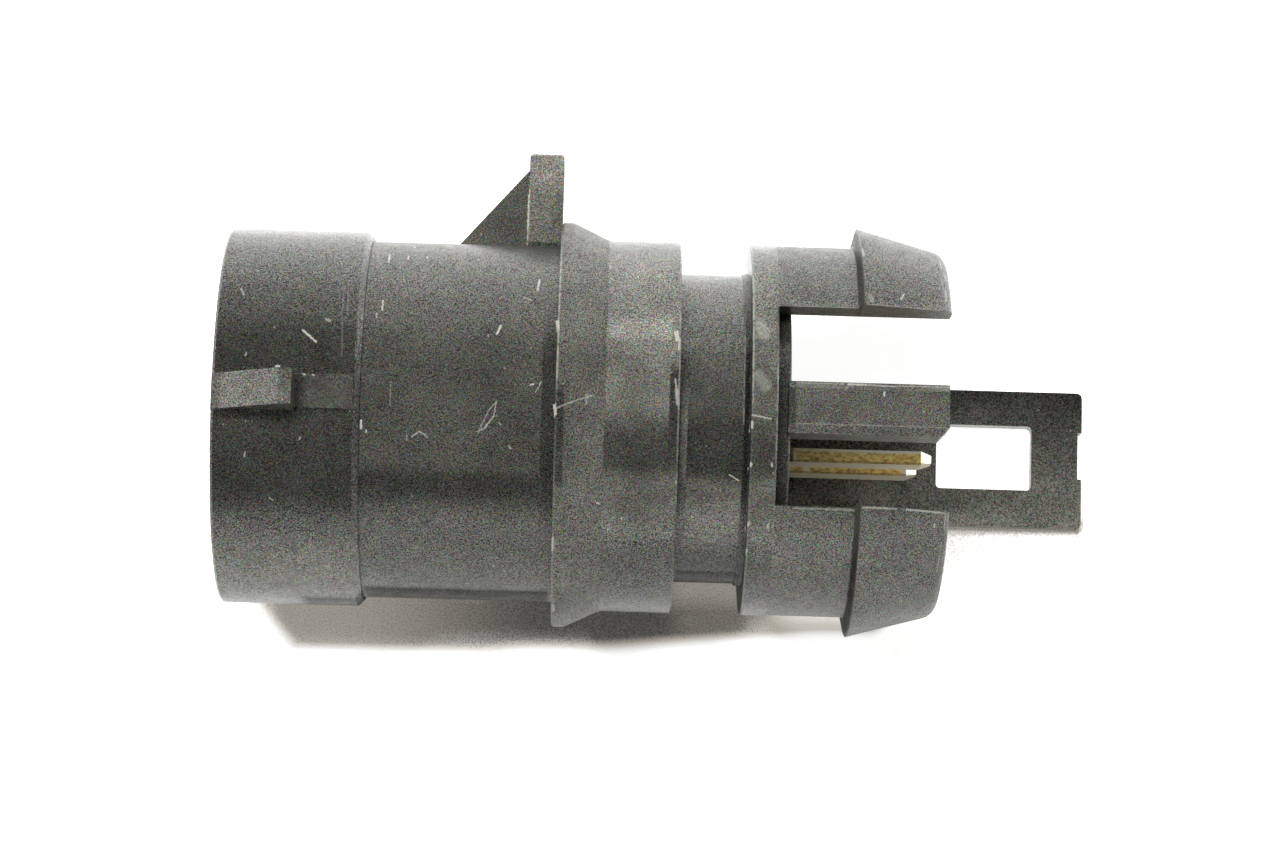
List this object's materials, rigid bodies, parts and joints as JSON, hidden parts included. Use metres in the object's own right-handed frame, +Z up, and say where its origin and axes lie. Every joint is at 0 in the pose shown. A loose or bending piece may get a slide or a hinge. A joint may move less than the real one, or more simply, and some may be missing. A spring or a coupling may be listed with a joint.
{
  "type": "transmission case connector",
  "caption": "Round moulded electrical pass-through for a transmission case, with a plug socket, blade terminals, a seal groove, hooked snap legs, a key bar and a windowed latch arm.",
  "frame": {"origin": "on the connector's axis, at the edge of the flange where the seal groove begins", "axes": "+X along the axis, from the harness socket into the case; +Y to the alignment tab; +Z up, to the latch ramp and the key bar, with the latch arm below"},
  "size_m": [0.0518, 0.028, 0.026],
  "materials": {
    "housing": "moulded satin black",
    "terminal": "plated satin"
  },
  "bodies": {
    "root": {"housing": "housing", "terminal_a": "terminal", "terminal_b": "terminal", "terminal_c": "terminal", "terminal_d": "terminal"}
  },
  "joints": []
}
